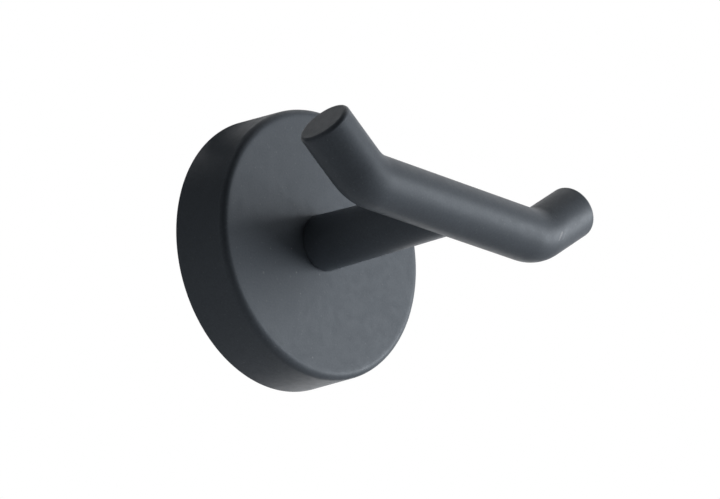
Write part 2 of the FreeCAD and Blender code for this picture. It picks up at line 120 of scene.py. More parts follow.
def settle() -> Piece:
    """Leaves the place, the turn and the size of the active piece in its mesh, and returns it."""
    bpy.ops.object.transform_apply(location=True, rotation=True, scale=True)
    return bpy.context.object


def edit_whole() -> None:
    """Enters edit mode with the whole mesh of the active piece selected."""
    bpy.ops.object.mode_set(mode="EDIT")
    bpy.ops.mesh.select_mode(type="VERT")
    bpy.ops.mesh.select_all(action="SELECT")


def pull(x: float, y: float = 0, z: float = 0) -> None:
    """Extrudes what is selected by a distance in metres."""
    bpy.ops.mesh.extrude_region_move(TRANSFORM_OT_translate={"value": (x, y, z)})


def pick(piece: Piece, kind: Kind, wanted: Callable[..., bool]) -> None:
    """Selects the faces or the edges of the piece in edit mode that a test picks out.

    Args:
        piece: piece that is in edit mode.
        kind: faces or edges.
        wanted: test of the place or direction of one of them.
    """
    bpy.ops.mesh.select_mode(type=kind.value)
    bpy.ops.mesh.select_all(action="DESELECT")
    mesh = bmesh.from_edit_mesh(piece.data)
    for element in mesh.faces if kind is Kind.FACES else mesh.edges:
        element.select_set(wanted(element))
    mesh.select_flush_mode()
    bmesh.update_edit_mesh(piece.data)


def level_way(degrees: float) -> Vector:
    """Direction level with the wall, at an angle from +X to +Z."""
    return Vector((cos(radians(degrees)), 0, sin(radians(degrees))))


def rounded(corners: Sequence[Corner]) -> list[Vector]:
    """Rounds the corners of a closed profile into short chords.

    Args:
        corners: radius from the axis, height out of the wall and rounding of each corner, in mm.

    Returns:
        The points of the profile in order, in mm.
    """
    points = []
    for index, (radius, height, rounding) in enumerate(corners):
        here = Vector((radius, height))
        if rounding <= 0:
            points.append(here)
            continue
        before = (Vector(corners[index - 1][:2]) - here).normalized()
        after = (Vector(corners[(index + 1) % len(corners)][:2]) - here).normalized()
        turn = pi - before.angle(after)
        reach = rounding * tan(turn / 2)
        start, end = here + before * reach, here + after * reach
        centre = here + (before + after).normalized() * (rounding / cos(turn / 2))
        steps = max(2, ceil(turn / ARC_STEP))
        first, last = start - centre, end - centre
        sweep = atan2(first.x * last.y - first.y * last.x, first.dot(last))
        for step in range(steps + 1):
            points.append(centre + Matrix.Rotation(sweep * step / steps, 2) @ first)
    return points


def traced(name: str, corners: Sequence[Corner]) -> Piece:
    """Draws a profile beside the axis as a chain of edges, closed unless it begins on the axis.

    Args:
        name: name of the new piece.
        corners: radius from the axis, height out of the wall and rounding of each corner, in mm.

    Returns:
        The piece, in edit mode with its whole chain selected.
    """
    outline = rounded(corners)
    clear_selection()
    bpy.ops.mesh.primitive_plane_add(size=MM, location=(0, 0, 0))
    piece = bpy.context.object
    piece.name = piece.data.name = name
    edit_whole()
    bpy.ops.mesh.merge(type="CENTER")
    first = here = outline[0]
    bpy.ops.transform.translate(value=(first.x * MM, -first.y * MM, 0))
    for point in [*outline[1:], *([first] if first.x > 0 else [])]:
        step = point - here
        pull(step.x * MM, -step.y * MM)
        here = point
    bpy.ops.mesh.select_all(action="SELECT")
    bpy.ops.mesh.remove_doubles(threshold=WELD)
    return piece


def welded(piece: Piece) -> Piece:
    """Merges the seams of a piece in edit mode, points its faces outwards and leaves edit mode.

    Args:
        piece: piece that is in edit mode.

    Returns:
        The same piece.
    """
    bpy.ops.mesh.select_all(action="SELECT")
    bpy.ops.mesh.remove_doubles(threshold=WELD)
    bpy.ops.mesh.normals_make_consistent(inside=False)
    bpy.ops.object.mode_set(mode="OBJECT")
    return piece


def turned(name: str, corners: Sequence[Corner], steps: int = ROUND_STEPS) -> Piece:
    """Turns a profile about the axis out of the wall, as on a lathe.

    Args:
        name: name of the new piece.
        corners: corners of the profile, as for traced.
        steps: chords in the full turn.

    Returns:
        The turned piece.
    """
    piece = traced(name, corners)
    bpy.ops.mesh.spin(steps=steps, angle=2 * pi, center=(0, 0, 0), axis=(0, 1, 0))
    return welded(piece)


def moved(piece: Piece, place: Matrix) -> Piece:
    """Puts a piece where it belongs and leaves that place in its mesh.

    Args:
        piece: piece at the origin.
        place: where it goes, in metres.

    Returns:
        The same piece, with its object back at the origin.
    """
    take_up(piece)
    piece.matrix_world = place
    return settle()


def worked(piece: Piece, tool: Piece, cut: Cut = Cut.TAKE_AWAY) -> Piece:
    """Cuts a tool body out of a piece, or joins it on, and throws the tool body away.

    Args:
        piece: piece that is kept.
        tool: closed body that cuts or is joined.
        cut: which of the two.

    Returns:
        The same piece.
    """
    take_up(piece)
    step = piece.modifiers.new("work", "BOOLEAN")
    step.operation = cut.value
    step.solver = "EXACT"
    step.object = tool
    bpy.ops.object.modifier_apply(modifier=step.name)
    bpy.data.objects.remove(tool, do_unlink=True)
    return piece


def faired(piece: Piece) -> Piece:
    """Points all faces of a finished piece outwards, and smooths its round surfaces only.

    Args:
        piece: piece that is ready but for its shading.

    Returns:
        The same piece.
    """
    take_up(piece)
    edit_whole()
    bpy.ops.mesh.remove_doubles(threshold=WELD)
    bpy.ops.mesh.delete_loose()
    # A boolean can leave single faces turned inwards
    welded(piece)
    bpy.ops.object.shade_smooth_by_angle(angle=SMOOTH_ANGLE)
    step = piece.modifiers.new("even_shading", "WEIGHTED_NORMAL")
    step.mode = "FACE_AREA"
    step.weight = 100
    step.keep_sharp = True
    bpy.ops.object.modifier_apply(modifier=step.name)
    return piece


def bar(
    radius: float, length: float, sides: int, middle: Corner = (0, 0, 0), turn: Corner = (0, 0, 0)
) -> Piece:
    """Makes a plain bar, upright unless it is turned.

    Args:
        radius: distance of its corners from its axis, in mm.
        length: its length, in mm.
        sides: number of its sides.
        middle: its middle, in mm.
        turn: angles that it is turned by about X, Y and Z.

    Returns:
        The bar.
    """
    clear_selection()
    bpy.ops.mesh.primitive_cylinder_add(
        vertices=sides, radius=radius * MM, depth=length * MM,
        location=[distance * MM for distance in middle], rotation=turn,
    )
    return settle()


# ---- finishes

# Range in which nearly all values of a soft random pattern lie
PATTERN_LOW, PATTERN_HIGH = 0.3, 0.7


@dataclass(frozen=True)
class Pattern:
    """Soft random pattern, with values about 0.5.

    Attributes:
        size: about the width of its blotches, in mm.
        detail: how many finer layers lie on it.
        roughness: how strong the finer layers are.
        stretch: how much denser it is along each axis.
    """

    size: float
    detail: float = 2.0
    roughness: float = 0.5
    stretch: Corner = (1, 1, 1)


class Nodes:
    """Node tree of a finish or of the surroundings."""

    def __init__(self, owner: bpy.types.Material | bpy.types.World, shader: str, end: str) -> None:
        """Starts an empty tree with a shader and its output.

        Args:
            owner: material or surroundings that the tree belongs to.
            shader: type of its shader.
            end: type of its output.
        """
        owner.use_nodes = True
        self.tree = owner.node_tree
        self.tree.nodes.clear()
        self.shader = self.tree.nodes.new(shader)
        output = self.tree.nodes.new(end)
        self.tree.links.new(self.shader.outputs[0], output.inputs["Surface"])

    def feed(self, socket: bpy.types.NodeSocket, value: Socket) -> None:
        """Gives a socket what goes into it.

        Args:
            socket: the socket.
            value: a value or another node's output.
        """
        if isinstance(value, bpy.types.NodeSocket):
            self.tree.links.new(value, socket)
        else:
            socket.default_value = value

    def add(
        self, kind: str, sockets: dict[int | str, Socket], output: int | str = 0, **settings: object
    ) -> Socket:
        """Adds one node.

        Args:
            kind: type of node.
            sockets: what goes into its sockets, a value or another node's output.
            output: which output is wanted.
            **settings: the node's own settings.

        Returns:
            The wanted output.
        """
        node = self.tree.nodes.new(kind)
        for key, value in settings.items():
            setattr(node, key, value)
        for key, value in sockets.items():
            self.feed(node.inputs[key], value)
        return node.outputs[output]

    def reckon(self, operation: str, first: Socket, second: Socket) -> Socket:
        """Reckons with two values."""
        return self.add("ShaderNodeMath", {0: first, 1: second}, operation=operation)

    def span(self, value: Socket, of: Sequence[Socket], to: Sequence[Socket]) -> Socket:
        """Maps a value from one range to another, and stays within it."""
        ends = zip(("From Min", "From Max", "To Min", "To Max"), (*of, *to))
        return self.add("ShaderNodeMapRange", {"Value": value, **dict(ends)})

    def in_sight(self, otherwise: float, level: float) -> Socket:
        """Tells what the camera, reflections and glass see from what lights the object.

        Args:
            otherwise: value for all other rays.
            level: value for rays from the camera, from a reflection or through glass.

        Returns:
            The value for each ray.
        """
        seen = self.add("ShaderNodeLightPath", {}, "Is Camera Ray")
        for ray in ("Is Glossy Ray", "Is Transmission Ray"):
            seen = self.reckon("MAXIMUM", seen, self.add("ShaderNodeLightPath", {}, ray))
        return self.span(seen, (0.0, 1.0), (otherwise, level))

    def give(self, **sockets: Socket) -> None:
        """Sets the shader's own sockets, named with underscores for spaces."""
        for key, value in sockets.items():
            self.feed(self.shader.inputs[key.replace("_", " ")], value)


class Recipe(Nodes):
    """Node tree of one finish."""

    def __init__(self, name: str) -> None:
        """Starts an empty finish.

        Args:
            name: name of its material.
        """
        self.material = bpy.data.materials.new(name)
        super().__init__(self.material, "ShaderNodeBsdfPrincipled", "ShaderNodeOutputMaterial")
        self.place = self.add("ShaderNodeTexCoord", {}, "Object")

    def noise(self, pattern: Pattern) -> Socket:
        """Draws a soft random pattern.

        Args:
            pattern: the pattern.

        Returns:
            Its value.
        """
        mapping = {"Vector": self.place, "Scale": pattern.stretch}
        sockets = {
            "Vector": self.add("ShaderNodeMapping", mapping),
            "Scale": 1 / (pattern.size * MM),
            "Detail": pattern.detail,
            "Roughness": pattern.roughness,
        }
        return self.add("ShaderNodeTexNoise", sockets)

    def vary(self, noise: Socket, to: Span) -> Socket:
        """Maps a soft random pattern to a range."""
        return self.span(noise, (PATTERN_LOW, PATTERN_HIGH), to)

    def vector(self, operation: str, sockets: dict, output: int | str = 0) -> Socket:
        """Reckons with one or two vectors."""
        return self.add("ShaderNodeVectorMath", sockets, output, operation=operation)

    def shade(self, colour: Sequence[float], amount: Socket) -> Socket:
        """Lightens or darkens a colour by a factor."""
        return self.vector("SCALE", {0: colour[:3], "Scale": amount})

    def blend(self, share: Socket, first: Socket, second: Socket) -> Socket:
        """Mixes two colours by a share from 0 to 1."""
        return self.add("ShaderNodeMix", {0: share, 6: first, 7: second}, 2, data_type="RGBA")

    def bump(self, height: Socket, depth: float, strength: float) -> None:
        """Gives the shader a relief.

        Args:
            height: pattern of the relief.
            depth: how deep it is, in mm.
            strength: share of it that shows.
        """
        sockets = {"Height": height, "Distance": depth * MM, "Strength": strength}
        self.give(Normal=self.add("ShaderNodeBump", sockets))


@dataclass(frozen=True)
class Mark:
    """Small pale mark on the coat: a speck, or a nick if it has a length.

    Attributes:
        start: one end of the mark, in mm.
        strength: how far its colour goes to the pale one.
        width: width of the mark, in mm.
        end: its other end, in mm, or nothing for a speck.
    """

    start: Corner
    strength: float
    width: float = 0.4
    end: Corner | None = None


FACE_SPECKS = (
    Mark((-13.60, -12.4, -4.38), 0.30),
    Mark((-8.22, -12.4, -3.06), 0.50, 0.36),
    Mark((-5.46, -12.4, -11.19), 0.30),
    Mark((-6.70, -12.4, -7.38), 0.42, 0.40),
    Mark((-15.15, -12.4, -9.42), 0.26, 0.52),
    Mark((-1.77, -12.4, -22.77), 0.42, 0.44),
    Mark((-0.70, -12.4, -6.33), 0.34),
    Mark((-8.21, -12.4, -8.53), 0.14, 0.48),
)
BEND_MARKS = (
    Mark((24.95, -50.40, 0.62), 0.85, 0.52, (24.62, -50.22, -0.40)),
    Mark((24.62, -50.22, -0.40), 0.60, 0.46, (24.48, -50.08, -0.86)),
    Mark((25.91, -50.26, 0.63), 0.22, 0.45, (25.64, -50.00, -0.38)),
    Mark((20.62, -50.25, -1.52), 0.15, 0.30),
    Mark((20.99, -50.41, -0.88), 0.12, 0.34),
    Mark((28.59, -50.37, 3.08), 0.15, 0.50),
)


@dataclass(frozen=True)
class PowderCoat:
    """Matte black powder coat: a slate black with a fine grain and a slight orange peel.

    Attributes:
        grain_range: values of the grain that are its darkest and its palest.
        fleck_grain: values of the grain where a fleck begins and where it is widest.
        mark_fade: where a mark begins to fade and ends, as shares of its half width.
    """

    name: str
    colour: Colour = (0.088, 0.103, 0.123, 1.0)
    pale: Colour = (0.30, 0.31, 0.33, 1.0)
    roughness: Span = (0.45, 0.52)
    gloss: float = 0.42
    sheen_tint: Colour = (0.80, 0.90, 1.0, 1.0)
    cloud: Pattern = Pattern(9.0, 3.0, 0.5)
    cloud_tones: Span = (0.965, 1.035)
    grain: Pattern = Pattern(0.40, 3.0, 0.6)
    grain_range: Span = (0.25, 0.75)
    grain_tones: Span = (0.88, 1.12)
    peel: Pattern = Pattern(1.3, 2.0, 0.4)
    peel_share: float = 1.6
    relief_mm: float = 0.012
    relief_strength: float = 0.5
    fleck_mm: float = 1.2
    fleck_grain: Span = (0.35, 0.6)
    fleck_reach: float = 0.22
    fleck_fade: float = 0.08
    fleck_strength: float = 0.11
    marks: tuple[Mark, ...] = ()
    mark_fade: Span = (0.4, 1.2)
    mark_ragged: float = 0.25
    speck_swell: float = 3.0
    nick_swell: float = -6.0

    def material(self) -> bpy.types.Material:
        """Makes the finish.

        Returns:
            The material.
        """
        recipe = Recipe(self.name)
        grain = recipe.noise(self.grain)
        peel = recipe.noise(self.peel)
        cloudy = recipe.vary(recipe.noise(self.cloud), self.cloud_tones)
        grainy = recipe.span(grain, self.grain_range, self.grain_tones)
        tone = recipe.reckon("MULTIPLY", cloudy, grainy)
        plain = recipe.shade(self.colour, tone)
        colour = recipe.blend(self.flecks(recipe, grain), plain, self.pale)
        relief = recipe.reckon("ADD", recipe.reckon("MULTIPLY", peel, self.peel_share), grain)
        for mark in self.marks:
            share = self.spot(recipe, mark, grain)
            colour = recipe.blend(share, colour, self.pale)
            swell = self.speck_swell if mark.end is None else self.nick_swell
            relief = recipe.reckon("ADD", relief, recipe.reckon("MULTIPLY", share, swell))
        recipe.give(
            Base_Color=colour,
            Roughness=recipe.vary(peel, self.roughness),
            Specular_IOR_Level=self.gloss,
            Specular_Tint=self.sheen_tint,
        )
        recipe.bump(relief, self.relief_mm, self.relief_strength)
        return recipe.material

    def flecks(self, recipe: Recipe, grain: Socket) -> Socket:
        """Share of the pale colour in the scattered single grains of powder.

        Args:
            recipe: finish that they belong to.
            grain: pattern that makes them uneven.

        Returns:
            The share, from 0 to the strength of the flecks.
        """
        sockets = {"Vector": recipe.place, "Scale": 1 / (self.fleck_mm * MM)}
        distance = recipe.add("ShaderNodeTexVoronoi", sockets, "Distance")
        reach = recipe.span(grain, self.fleck_grain, (0.0, self.fleck_reach))
        inside = recipe.reckon("SUBTRACT", reach, distance)
        share = recipe.span(inside, (0.0, self.fleck_fade), (0.0, 1.0))
        return recipe.reckon("MULTIPLY", share, self.fleck_strength)

    def spot(self, recipe: Recipe, mark: Mark, grain: Socket) -> Socket:
        """Share of the pale colour round one mark, with a ragged edge.

        Args:
            recipe: finish that the mark belongs to.
            mark: the mark.
            grain: pattern that makes its edge ragged.

        Returns:
            The share, from 0 to the mark's strength.
        """
        start = Vector(mark.start) * MM
        reach = recipe.vector("SUBTRACT", {0: recipe.place, 1: start})
        if mark.end is not None:
            run = Vector(mark.end) * MM - start
            along = recipe.vector("DOT_PRODUCT", {0: reach, 1: run}, "Value")
            share = recipe.span(along, (0.0, run.length_squared), (0.0, 1.0))
            nearest = recipe.vector("SCALE", {0: run, "Scale": share})
            reach = recipe.vector("SUBTRACT", {0: reach, 1: nearest})
        distance = recipe.vector("LENGTH", {0: reach}, "Value")
        radii = recipe.reckon("DIVIDE", distance, mark.width / 2 * MM)
        uneven = recipe.vary(grain, (-self.mark_ragged, self.mark_ragged))
        edge = recipe.reckon("ADD", radii, uneven)
        return recipe.span(edge, self.mark_fade, (mark.strength, 0.0))


@dataclass(frozen=True)
class Metal:
    """Bare or plated metal with a cloudy tone and a fine relief."""

    name: str
    colour: Colour
    cloud: Pattern
    tones: Span
    roughness: Span
    skin: Pattern
    relief_mm: float
    relief_strength: float = 0.3
    metallic: float = 1.0

    def material(self) -> bpy.types.Material:
        """Makes the finish.

        Returns:
            The material.
        """
        recipe = Recipe(self.name)
        cloud = recipe.noise(self.cloud)
        recipe.give(
            Base_Color=recipe.shade(self.colour, recipe.vary(cloud, self.tones)),
            Metallic=self.metallic,
            Roughness=recipe.vary(cloud, self.roughness),
        )
        recipe.bump(recipe.noise(self.skin), self.relief_mm, self.relief_strength)
        return recipe.material


@dataclass(frozen=True)
class ZincPlate(Metal):
    """Bright zinc plating on steel, slightly cloudy, with fine lines."""

    name: str = "bright_zinc_plating"
    colour: Colour = (0.60, 0.61, 0.62, 1.0)
    cloud: Pattern = Pattern(1.6, 4.0, 0.6)
    tones: Span = (0.86, 1.06)
    roughness: Span = (0.24, 0.40)
    skin: Pattern = Pattern(0.5, 2.0, 0.5, (1, 8, 1))
    relief_mm: float = 0.004


@dataclass(frozen=True)
class RawCasting(Metal):
    """Zinc as it comes out of the die: dull grey, with soft flow marks and a fine sandy skin."""

    name: str = "raw_zinc_casting"
    colour: Colour = (0.48, 0.49, 0.50, 1.0)
    cloud: Pattern = Pattern(5.0, 5.0, 0.62, (1, 1, 2.2))
    tones: Span = (0.8, 1.1)
    roughness: Span = (0.38, 0.56)
    skin: Pattern = Pattern(0.35, 3.0, 0.6)
    relief_mm: float = 0.02
    relief_strength: float = 0.35


@dataclass(frozen=True)
class BlackOxide(Metal):
    """Thin black oxide on steel, with an oily sheen."""

    name: str = "black_oxide"
    colour: Colour = (0.08, 0.08, 0.085, 1.0)
    cloud: Pattern = Pattern(0.8, 3.0, 0.6)
    tones: Span = (0.75, 1.2)
    roughness: Span = (0.35, 0.48)
    skin: Pattern = Pattern(0.8, 3.0, 0.6)
    relief_mm: float = 0.006
    metallic: float = 0.7


# ---- pieces


class Part:
    """Piece of the hook, with the solid that it stands for and its material slot."""

    node: str
    slot: str

    def model(self) -> Piece:
        """Models the piece in its place.

        Returns:
            The piece, ready but for its shading.
        """
        raise NotImplementedError

    def build(self, finish: PowderCoat | Metal) -> None:
        """Models the piece, gives it its finish and sets it in the place of its solid.

        Args:
            finish: its finish.
        """
        piece = faired(self.model())
        piece.data.materials.clear()
        piece.data.materials.append(finish.material())
        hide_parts(self.node)
        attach(piece, "root")
        low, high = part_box(self.node)
        over = max(
            max(low[axis] - vertex.co[axis], vertex.co[axis] - high[axis])
            for vertex in piece.data.vertices
            for axis in range(3)
        )
        faces = len(piece.data.polygons)
        log.info("%s: %d faces, %.3f mm past its solid", piece.name, faces, over / MM)


@dataclass
class Rosette(Part):
    """Cast cup that hides the bracket, with the stem's seat, the catch lug and the screw's boss."""

    radius: float = 26.0
    depth: float = 12.4
    draft: float = 1.5
    edge: float = 1.5
    wall: float = 2.4
    face: float = 2.8
    inner: float = 1.2
    margin: float = 2.0
    boss_radius: float = 7.5
    boss_height: float = 2.2
    boss_fillet: float = 0.8
    hole_radius: float = 4.55
    hole_flat: float = 3.85
    rim_radius: float = 20.6
    bevel_top: float = 5.2
    lug_overlap: float = 1.8
    lug_gap: float = 0.4
    lug_thickness: float = 1.8
    lug_arc: float = 50.0
    lug_steps: int = 48
    grub_direction: float = 300.0
    grub_height: float = 3.6
    grub_boss_radius: float = 3.5
    grub_boss_end: float = 22.6
    grub_hole_radius: float = 2.05
    broken: float = 0.2

    node, slot = "rosette", "black_coat_rosette"

    def side(self, height: float) -> float:
        """Outer radius at a height, in mm."""
        return self.radius + (self.depth - height) * tan(radians(self.draft))

    def mid_wall(self) -> float:
        """Radius of the middle of the wall, in mm."""
        return self.radius - self.wall / 2

    def cup(self) -> Piece:
        """Turns the cup with its seat boss.

        Returns:
            The cup.
        """
        cavity = self.depth - self.face
        seat = cavity - self.boss_height
        corners = (
            (0, seat, 0),
            (self.boss_radius, seat, self.broken),
            (self.boss_radius, cavity, self.boss_fillet),
            (self.boss_radius + 2 * self.boss_fillet, cavity, 0),
            (self.side(cavity) - self.wall - self.margin, cavity, 0),
            (self.side(cavity) - self.wall, cavity, self.inner),
            (self.side(0) - self.wall, 0, self.broken),
            (self.side(0), 0, self.broken),
            (self.radius, self.depth, self.edge),
            (self.radius - self.margin, self.depth, 0),
            (self.hole_radius + self.margin / 2, self.depth, 0),
            (0, self.depth, 0),
        )
        return turned("rosette_coated", corners, steps=2 * ROUND_STEPS)

    def keyed_hole(self) -> Piece:
        """Makes the tool body of the stem's hole: a round bar with a flat along its upper side.

        Returns:
            The tool body.
        """
        middle = (0, -self.depth, 0)
        key = bar(self.hole_radius, 2 * self.depth, ROUND_STEPS, middle, (pi / 2, 0, 0))
        edit_whole()
        flat = (0, 0, self.hole_flat * MM)
        bpy.ops.mesh.bisect(plane_co=flat, plane_no=(0, 0, 1), clear_outer=True, use_fill=True)
        return welded(key)

    def lug(self) -> Piece:
        """Sweeps the catch lug through its arc, opposite the grub screw.

        Returns:
            The lug.
        """
        tip_height = self.bevel_top - self.lug_overlap
        tip_radius = self.rim_radius - self.lug_overlap
        top_height = self.bevel_top - self.lug_gap
        corners = (
            (tip_radius, tip_height - self.lug_thickness, self.broken),
            (self.mid_wall(), tip_height - self.lug_thickness, 0),
            (self.mid_wall(), top_height, 0),
            (self.rim_radius - self.lug_gap, top_height, self.broken),
            (tip_radius, tip_height, self.broken),
        )
        lug = traced("lug", corners)
        arc = radians(self.lug_arc)
        bpy.ops.mesh.spin(steps=self.lug_steps, angle=arc, center=(0, 0, 0), axis=(0, 1, 0))
        bpy.ops.mesh.select_all(action="SELECT")
        bpy.ops.mesh.fill_holes(sides=0)
        welded(lug)
        heart = sum((vertex.co for vertex in lug.data.vertices), Vector()) / len(lug.data.vertices)
        turn = atan2(heart.z, heart.x) - radians(self.grub_direction - 180)
        return moved(lug, Matrix.Rotation(turn, 4, "Y"))

    def radial(self, radius: float, start: float, end: float) -> Piece:
        """Round body on the grub screw's axis.

        Args:
            radius: its radius, in mm.
            start: where it begins, from the rosette's axis, in mm.
            end: where it ends, in mm.

        Returns:
            The body.
        """
        out = level_way(self.grub_direction)
        middle = out * (start + end) / 2 + Vector((0, -self.grub_height, 0))
        turn = out.to_track_quat("Z", "Y").to_matrix().to_4x4()
        body = bar(radius, end - start, DRILL_STEPS)
        return moved(body, Matrix.Translation(middle * MM) @ turn)

    def model(self) -> Piece:
        """Models the rosette.

        Returns:
            The rosette.
        """
        cup = self.cup()
        worked(cup, self.lug(), Cut.JOIN)
        boss = self.radial(self.grub_boss_radius, self.grub_boss_end, self.mid_wall())
        worked(cup, boss, Cut.JOIN)
        inside, outside = self.grub_boss_end - 2 * PAST, self.radius + 3 * PAST
        worked(cup, self.radial(self.grub_hole_radius, inside, outside))
        return worked(cup, self.keyed_hole())


@dataclass
class Stem(Part):
    """Tapered post with a keyed spigot, a bore for the tie screw and a coped end.

    Attributes:
        foot_ring: radius and height of a ring of edges on the taper, and top_ring of another.
    """

    foot_height: float = 12.4
    foot_radius: float = 5.45
    foot_break: float = 0.3
    foot_ring: Span = (5.42, 13.6)
    top_ring: Span = (4.72, 44.4)
    top_radius: float = 4.7
    spigot_radius: float = 4.5
    spigot_flat: float = 3.8
    spigot_end: float = 7.7
    spigot_break: float = 0.2
    bore_radius: float = 2.65
    bore_break: float = 0.1
    bar_height: float = 45.4
    bar_radius: float = 5.1
    cutter_length: float = 20.0
    cutter_width: float = 4.0

    node, slot = "stem", "black_coat_stem"

    def model(self) -> Piece:
        """Models the stem.

        Returns:
            The stem.
        """
        corners = (
            (self.bore_radius, self.spigot_end, self.bore_break),
            (self.spigot_radius, self.spigot_end, self.spigot_break),
            (self.spigot_radius, self.foot_height, 0),
            (self.foot_radius, self.foot_height, self.foot_break),
            (*self.foot_ring, 0),
            (*self.top_ring, 0),
            (self.top_radius, self.bar_height, 0),
            (self.bore_radius, self.bar_height, 0),
        )
        post = turned("stem_coated", corners)
        middle = (0, -self.bar_height, 0)
        cutter = self.bar_radius - SLIVER
        worked(post, bar(cutter, self.cutter_length, ROUND_STEPS, middle, (0, pi / 2, 0)))
        return worked(post, self.flat_tool())

    def flat_tool(self) -> Piece:
        """Makes the body of the cutter that mills the spigot's flat, up to the stem's shoulder.

        Returns:
            The tool body.
        """
        clear_selection()
        length = self.foot_height - self.spigot_end + PAST
        height = self.foot_height - SLIVER - length / 2
        middle = (0, -height * MM, (self.spigot_flat + self.cutter_width / 2) * MM)
        size = (3 * self.spigot_radius * MM, length * MM, self.cutter_width * MM)
        bpy.ops.mesh.primitive_cube_add(size=1, location=middle, scale=size)
        return settle()


@dataclass
class Crossbar(Part):
    """Round rod whose ends turn up, with a blind tapped hole in the middle of its back.

    Attributes:
        corner: where the axes of the straight part and of an arm would meet, along X.
    """

    radius: float = 5.1
    height: float = 45.4
    corner: float = 22.45
    arm: float = 13.3
    rise: float = 36.0
    bend: float = 8.5
    bend_steps: int = 24
    end_radius: float = 0.8
    end_steps: int = 8
    end_inset: float = 0.6
    hole_radius: float = 2.55
    hole_depth: float = 7.0
    drill_point: float = 118.0
    sides: int = 128

    node, slot = "crossbar", "black_coat_crossbar"

    def model(self) -> Piece:
        """Models the crossbar.

        Returns:
            The crossbar.
        """
        rod = self.half()
        step = rod.modifiers.new("other_arm", "MIRROR")
        step.use_axis = (True, False, False)
        step.merge_threshold = WELD
        take_up(rod)
        bpy.ops.object.modifier_apply(modifier=step.name)
        edit_whole()
        welded(rod)
        return worked(rod, self.drill())

    def half(self) -> Piece:
        """Models the right half: straight out, round the bend and up the arm.

        Returns:
            The half, open at the middle of the rod.
        """
        rise = radians(self.rise)
        tangent = self.bend * tan(rise / 2)
        straight = self.corner - tangent
        clear_selection()
        bpy.ops.mesh.primitive_circle_add(
            vertices=self.sides, radius=self.radius * MM, fill_type="NOTHING",
            location=(0, -self.height * MM, 0), rotation=(0, pi / 2, 0),
        )
        rod = settle()
        rod.name = rod.data.name = "crossbar_coated"
        edit_whole()
        pull(straight * MM)
        centre = (straight * MM, -self.height * MM, self.bend * MM)
        bpy.ops.mesh.spin(steps=self.bend_steps, angle=rise, center=centre, axis=(0, 1, 0))
        along = level_way(self.rise)
        pull(*(along * (self.arm - tangent) * MM))
        bpy.ops.mesh.edge_face_add()
        tip = Vector((self.corner * MM, -self.height * MM, 0)) + along * self.arm * MM
        pick(rod, Kind.EDGES, lambda edge: all(
            abs((vertex.co - tip).dot(along)) < SAME_PLANE for vertex in edge.verts
        ))
        bpy.ops.mesh.bevel(offset=self.end_radius * MM, segments=self.end_steps, affect="EDGES")
        pick(rod, Kind.FACES, lambda face: face.normal.dot(along) > SAME_WAY)
        bpy.ops.mesh.inset(thickness=self.end_inset * MM)
        return welded(rod)

    def drill(self) -> Piece:
        """Turns the body of the tapped hole with its drill point.

        Returns:
            The tool body.
        """
        back = self.height - self.radius
        bottom = back + self.hole_depth
        point = self.hole_radius / tan(radians(self.drill_point / 2))
        profile = [
            (0, back - 3 * PAST, 0),
            (self.hole_radius, back - 3 * PAST, 0),
            (self.hole_radius, bottom, 0),
            (0, bottom + point, 0),
        ]
        return turned("drill", profile, steps=DRILL_STEPS)


@dataclass
class SocketScrew(Part):
    """Screw with a rolled thread and a hexagon socket.

    Attributes:
        flank_slope: how fast the thread's flank rises from the middle of its root.
        root_flat: how much of that rise is cut off to make the root flat.
    """

    radius: float
    root: float
    pitch: float
    socket_width: float
    socket_depth: float
    socket_lead: float
    broken: float
    rings: int = 6
    flank_slope: float = 2.4
    root_flat: float = 0.15

    def shank(self, start: float, end: float) -> list[Corner]:
        """Corners of the plain shank, close enough to each other for a thread."""
        rings = ceil((end - start) / (self.pitch / self.rings))
        return [(self.radius, start + (end - start) * ring / rings, 0) for ring in range(rings + 1)]

    def thread(self, screw: Piece, start: float, end: float) -> None:
        """Rolls the thread into the plain shank of a turned blank, fading out at both ends.

        Args:
            screw: blank on the axis.
            start: height where the thread begins, in mm.
            end: height where it ends, in mm.
        """
        for vertex in screw.data.vertices:
            radius, height = hypot(vertex.co.x, vertex.co.z) / MM, -vertex.co.y / MM
            if abs(radius - self.radius) > SLIVER or not start < height < end:
                continue
            angle = atan2(vertex.co.z, vertex.co.x) / (2 * pi)
            phase = (height / self.pitch - angle) % 1.0
            flank = min(1.0, max(0.0, self.flank_slope * abs(phase - 0.5) - self.root_flat))
            fade = min(1.0, (height - start) / self.pitch, (end - height) / self.pitch)
            scale = 1 - (self.radius - self.root) / self.radius * (1 - flank) * fade
            vertex.co.x *= scale
            vertex.co.z *= scale

    def key(self, start: float) -> Piece:
        """Body of a hexagon key pushed into the screw, with the drill's point ahead of it.

        Args:
            start: height of the screw's back end, in mm.

        Returns:
            The tool body.
        """
        inset, point = self.socket_width * 0.08, self.socket_width * 0.2
        middle = (0, -(start + self.socket_depth / 2 - PAST), 0)
        length = self.socket_depth + 2 * PAST
        key = bar(self.socket_width / sqrt(3), length, 6, middle, (pi / 2, 0, 0))
        edit_whole()
        pick(key, Kind.FACES, lambda face: face.normal.y < -SAME_WAY)
        bpy.ops.mesh.inset(thickness=inset * MM)
        pull(0, -point * MM)
        bpy.ops.mesh.merge(type="CENTER")
        return welded(key)

    def socket(self, screw: Piece, start: float) -> None:
        """Cuts the hexagon socket and breaks its edge with a cone.

        Args:
            screw: screw on the axis.
            start: height of its back end, in mm.
        """
        radius = self.socket_width / sqrt(3) + self.socket_lead
        cone = ((0, start - PAST, 0), (radius + PAST, start - PAST, 0), (0, start + radius, 0))
        worked(screw, self.key(start))
        worked(screw, turned("mouth", cone, DRILL_STEPS))


